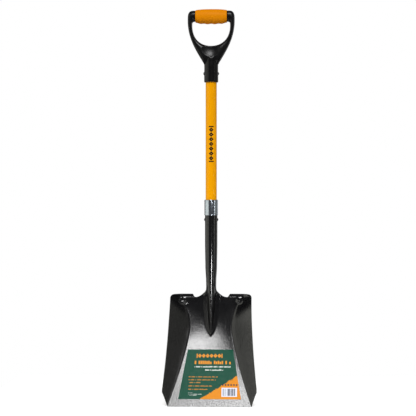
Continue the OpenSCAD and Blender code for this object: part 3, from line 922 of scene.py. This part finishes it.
def handle_yoke():
    """The moulded D: arms, hub and the bar in the grip as one voxel skin, then the shaft's bore."""
    first_voxel, last_voxel = 0.0009, 0.0008
    right = [(np.array(a), np.array(b)) for a, b in arm_pairs()]
    flip = np.array([-1, 1])
    pairs = right + [(a * flip, b * flip) for a, b in right[-2::-1]]
    loops = []
    for inner, outer in pairs:
        mid, half = (inner + outer) / 2, (outer - inner) / 2
        near_bar, near_web = ease((mid[1] - HUB_Z - 57) / 55), ease((HUB_Z + 62 - mid[1]) / 40)
        depth = mix(mix(ARM_DEPTH, BAR_H, near_bar), WEB_DEPTH, near_web) / 2
        square = mix(3, 2.3, near_bar)
        loops.append(oval((mid[0], SHAFT_Y, mid[1]), (half[0], 0, half[1]), depth, square, 48))
    obj = skin("yoke_arms", loops)
    r = HANDLE_SOCKET_D / 2 - PLAY
    # height, half the width and half the depth of the hub
    rings = [(HANDLE_SOCKET_BOTTOM, r - 0.6, r - 0.6), (HANDLE_SOCKET_BOTTOM + 0.8, r, r),
             (HUB_Z - 30, r, r), (HUB_Z - 12, r - 0.3, r - 0.3), (HUB_Z, r - 0.2, r - 0.2),
             (HUB_Z + 12, r, r - 0.6), (HUB_Z + 22, r, r - 1.6), (HUB_Z + 32, r - 2, WEB_DEPTH / 2),
             (HUB_Z + 40, r - 7, WEB_DEPTH / 2 - 2.5)]
    hub = skin("yoke_hub", [oval((0, SHAFT_Y, z), (a, 0, 0), -d, 2, 96) for z, a, d in rings])
    bar_half, bar_r = GRIP_LEN / 2 + 2, CORE_BAR_D / 2
    bar = skin("yoke_bar", crosswise([(-bar_half, bar_r), (bar_half, bar_r)], GRIP_Z, 64))
    for other in (hub, bar):
        outward(other)
        join_into(obj, other)
    outward(obj)
    modifier(obj, "REMESH", mode="VOXEL", voxel_size=first_voxel)
    modified(obj)
    for side in (-1, 1):
        centre = (0, SHAFT_Y + side * (SCOOP_R + SCOOP_GAP), OPENING_BOTTOM - 2)
        subtract(obj, ball(centre, SCOOP_R))
    modifier(obj, "REMESH", mode="VOXEL", voxel_size=last_voxel)
    modifier(obj, "SMOOTH", factor=0.5, iterations=6)
    modified(obj)
    bore, ends = SHAFT_D / 2 + PLAY, (HANDLE_SOCKET_BOTTOM - 1, SHAFT_TOP + 0.5)
    subtract(obj, outward(skin("bore", [ring(bore, z) for z in ends])))
    obj.name = "handle_moulding"
    shade(obj, 40)
    return obj


def join_into(obj, other):
    """Adds the other mesh's faces to the object, and deletes the other."""
    bm = bmesh.new()
    bm.from_mesh(obj.data)
    bm.from_mesh(other.data)
    bm.to_mesh(obj.data)
    bm.free()
    bpy.data.objects.remove(other)


def ball(centre, radius):
    bm = bmesh.new()
    bmesh.ops.create_uvsphere(bm, u_segments=160, v_segments=96, radius=radius / 1000)
    obj = bmesh_object("ball", bm)
    obj.location = in_frame([centre])[0]
    return obj


def grip_r(x, a):
    """The grip's radius at a place along it and an angle round it, with finger swells below."""
    u = abs(2 * x / GRIP_LEN)
    taper, under_taper, finger = 2.4 * u**3, 3.2 * u**3, 18.6
    top, front = 18.2 - taper, GRIP_DEPTH / 2 - taper
    under = GRIP_UNDER - under_taper + SWELL * (1 + cos(360 * (x / finger - 0.5))) / 2
    s = sin(a)
    return mix(front, np.where(s > 0, top, under), s * s)


def grip_sleeve():
    """The soft sleeve, from its rounded ends over its outside and back through its bore."""
    n, end, edge_r, bore = 120, GRIP_LEN / 2, 0.8, CORE_BAR_D / 2 + PLAY
    a = -360 * np.arange(n) / n
    trim = [(end - edge_r + edge_r * cos(t), edge_r * (1 - sin(t))) for t in (0, 25, 50, 75)]
    body = [(x, 0.0) for x in np.linspace(-end + edge_r, end - edge_r, 170)]
    outside = [(-x, inset) for x, inset in trim] + body + trim[::-1]
    sections = ([(x, grip_r(x, a) - inset) for x, inset in outside]
                + [(x, bore) for x in np.linspace(end, -end, 12)])
    loops = [np.stack([np.full(n, x), SHAFT_Y + r * cos(a), GRIP_Z + r * sin(a)], -1)
             for x, r in sections]
    obj = outward(skin("soft_sleeve", loops, closed=True))
    shade(obj, 50)
    return obj


def blade_label():
    """The label as a thin sheet on the floor, with its corners just starting to lift."""
    nu, nv = 90, 72
    s, t = np.meshgrid(np.linspace(-1, 1, nu + 1), np.linspace(0, 1, nv + 1))
    half = mix(LABEL_LOW_W, LABEL_TOP_W, t) / 2
    u, v = s * half, LABEL_LOW + LABEL_LEN * t
    curl_len, curl, ripple = 7, 0.9, 0.05
    from_side = (1 - np.abs(s)) * half / curl_len
    from_end = np.minimum(t, 1 - t) * LABEL_LEN / curl_len
    corner = np.exp(-(from_side**2) - from_end**2)
    lift = PLAY + curl * corner + ripple * (1 + np.sin(u / 13 + 1.3 * np.sin(v / 21)))
    normal = np.array([0, -cos(LIFT_ANGLE), sin(LIFT_ANGLE)])
    base = np.stack([u, v * sin(LIFT_ANGLE) - hollow(u, v, 0), v * cos(LIFT_ANGLE)], -1)
    top = base + (lift + LABEL_T - 0.06)[..., None] * normal
    under = base + lift[..., None] * normal
    ids = np.arange(u.size).reshape(u.shape)
    back = ids + u.size
    faces = grid_faces(ids) + [face[::-1] for face in grid_faces(back)]
    rim = np.concatenate([ids[0, :-1], ids[:-1, -1], ids[-1, :0:-1], ids[:0:-1, 0]])
    following = np.roll(rim, -1)
    faces += np.stack([rim, following, following + u.size, rim + u.size], -1).tolist()
    points = np.concatenate([top.reshape(-1, 3), under.reshape(-1, 3)])
    obj = outward(mesh_object("paper_label", points, faces))
    flat = np.concatenate([np.stack([u, v - LABEL_LOW], -1).reshape(-1, 2)] * 2) / LABEL_UNIT
    layer = obj.data.uv_layers.new(name="flat")
    corners = np.zeros(len(obj.data.loops), int)
    obj.data.loops.foreach_get("vertex_index", corners)
    layer.data.foreach_set("uv", flat[corners].ravel())
    shade(obj, 40)
    return obj


# ---------------------------------------------------------------- camera, light and floor
def aim(obj, position, target):
    """Puts a light or camera at a position, looking at a target with its top up."""
    obj.location = position
    obj.rotation_mode = "QUATERNION"
    obj.rotation_quaternion = (Vector(target) - Vector(position)).to_track_quat("-Z", "Y")


def place_camera():
    """Level and far off, a little to the object's right, as the photograph was taken."""
    distance, azimuth, view_angle = 4.0, math.radians(2.75), math.radians(15.33)
    height, aside = 0.5023 - HOOK_Z / 1000, 0.0083
    right = Vector((math.cos(azimuth), math.sin(azimuth), 0))
    back = Vector((math.sin(azimuth), -math.cos(azimuth), 0))
    middle = Vector((0, 0, height))
    camera = in_scene("camera", bpy.data.cameras.new("camera"))
    camera.data.sensor_width = 36
    camera.data.lens = camera.data.sensor_width / 2 / math.tan(view_angle / 2)
    bpy.context.scene.camera = camera
    aim(camera, middle + back * distance, middle - right * aside)


def panel(name, target, azimuth, elevation, distance, size, radiance, tint=(1, 1, 1)):
    """A soft rectangular light that looks at the target from an angle."""
    light = bpy.data.lights.new(name, "AREA")
    light.shape = "RECTANGLE"
    light.size, light.size_y = size
    light.energy = radiance * math.pi * size[0] * size[1]
    light.color = tint
    obj = in_scene(name, light)
    a, e = math.radians(azimuth), math.radians(elevation)
    back = Vector((math.sin(a) * math.cos(e), -math.cos(a) * math.cos(e), math.sin(e)))
    aim(obj, Vector(target) + back * distance, target)
    obj.visible_camera = False


def light_scene():
    """Soft panels for the blade and the sides, a small one for the line of light on the socket.

    The camera sees a white world, which lights the object only with a dim grey.
    """
    blade, middle = (0, -0.06, -0.85), (0, 0, -0.48)
    crest, shaft_middle = (0, -0.025, -0.669), (0, 0, -0.425)
    panel("overhead", blade, 4.4, 46, 7.0, (2.1, 2.0), 17.5)
    panel("overhead_halo", blade, 6.2, 44.7, 7.2, (3.0, 2.4), 6.5)
    panel("crest_light", crest, 13, 0, 0.9, (0.12, 0.06), 70.0)
    panel("right_wall", middle, 78, 14, 2.6, (1.8, 2.2), 0.3, (1, 1, 0.85))
    panel("left_wall", middle, -80, 12, 2.4, (3.6, 2.6), 1.3, (1, 1, 0.9))
    panel("right_strip", shaft_middle, 62, 0, 2.6, (0.16, 1.15), 5.0)
    panel("right_fill", middle, 138, 4, 2.6, (2.2, 1.6), 0.6)
    world = bpy.data.worlds.new("studio")
    bpy.context.scene.world = world
    world.use_nodes = True
    tree = world.node_tree
    tree.nodes.clear()
    path = tree.nodes.new("ShaderNodeLightPath")
    seen, fill = tree.nodes.new("ShaderNodeBackground"), tree.nodes.new("ShaderNodeBackground")
    seen.inputs["Color"].default_value = (1, 1, 1, 1)
    fill.inputs["Color"].default_value = (0.13, 0.13, 0.135, 1)
    choose = tree.nodes.new("ShaderNodeMixShader")
    out = tree.nodes.new("ShaderNodeOutputWorld")
    tree.links.new(path.outputs["Is Camera Ray"], choose.inputs[0])
    tree.links.new(fill.outputs[0], choose.inputs[1])
    tree.links.new(seen.outputs[0], choose.inputs[2])
    tree.links.new(choose.outputs[0], out.inputs[0])


def floor():
    """A pale floor under the cutting edge, as white in the view as the world beyond it."""
    reach = 600
    corners = ((-1, -1), (1, -1), (1, 1), (-1, 1))
    points = [(x * reach, y * reach + SHAFT_Y, 0) for x, y in corners]
    obj = mesh_object("studio_floor", points, [[0, 1, 2, 3]])
    f = Finish("floor_paint", roughness=0.9)
    cloud = f.noise(260, 4)
    f.set("base_color", f.blend(cloud, srgb(232, 232, 232), srgb(236, 236, 236)))
    f.set("emission_color", (1, 1, 1, 1))
    f.set("emission_strength", 0.55)
    obj.data.materials.append(f.material)


def main():
    place_camera()
    black, plastic, paint = lacquer(), black_plastic(), rivet_paint()
    finish_piece(shovel_head(), black, "lacquered_steel", "shovel_head")
    finish_piece(ferrule(), zinc(), "zinc_plate", "ferrule")
    socket_rivet = rivet("socket_rivet_set", SOCKET_RIVET_Z, 2 * float(neck_x(SOCKET_RIVET_Z)))
    finish_piece(socket_rivet, paint, "rivet_steel", "socket_rivet")
    handle_rivet = rivet("handle_rivet_set", HANDLE_RIVET_Z, HANDLE_SOCKET_D - 0.3)
    finish_piece(handle_rivet, paint, "rivet_steel", "handle_rivet")
    finish_piece(shaft(), fibreglass(), "fibreglass", "shaft")
    finish_piece(handle_yoke(), plastic, "black_plastic", "handle_yoke")
    finish_piece(grip_sleeve(), soft_grip(), "soft_grip", "grip_sleeve")
    finish_piece(blade_label(), label_print(), "label_paper", "blade_label")
    core = wood()
    for node in ("shaft_core_lower", "shaft_core_upper"):
        paint_with(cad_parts[node], core)
    light_scene()
    floor()
    bpy.context.scene.view_settings.view_transform = "Standard"


main()
